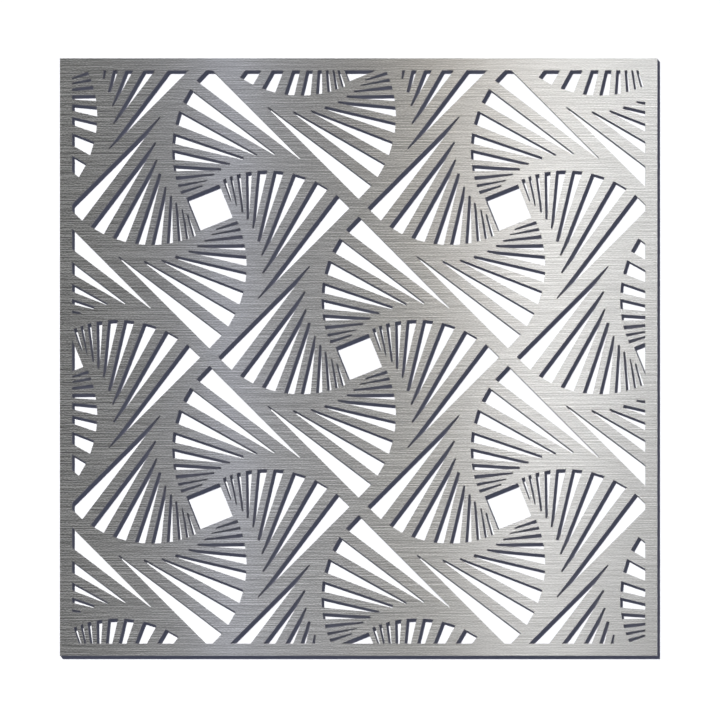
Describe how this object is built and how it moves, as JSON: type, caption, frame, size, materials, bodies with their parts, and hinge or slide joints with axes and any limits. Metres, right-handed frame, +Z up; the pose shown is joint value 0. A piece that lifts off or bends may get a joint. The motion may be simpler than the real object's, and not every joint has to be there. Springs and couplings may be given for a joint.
{
  "type": "decorative screen panel",
  "caption": "Square laser-cut metal screen: a flat brushed sheet with whirling fans of tapering slots round small square windows, inside a plain border.",
  "frame": {"origin": "middle of the bottom edge, halfway through the thickness", "axes": "+X to the right as seen from the front, +Y from the front to the back through the thickness, +Z up the sheet"},
  "size_m": [0.6, 0.003, 0.6],
  "materials": {
    "brushed_sheet": "stainless sheet with a fine brushed grain running across its width, and darker, duller laser-cut edges"
  },
  "bodies": {
    "root": {"screen_sheet": "brushed_sheet"}
  },
  "joints": []
}
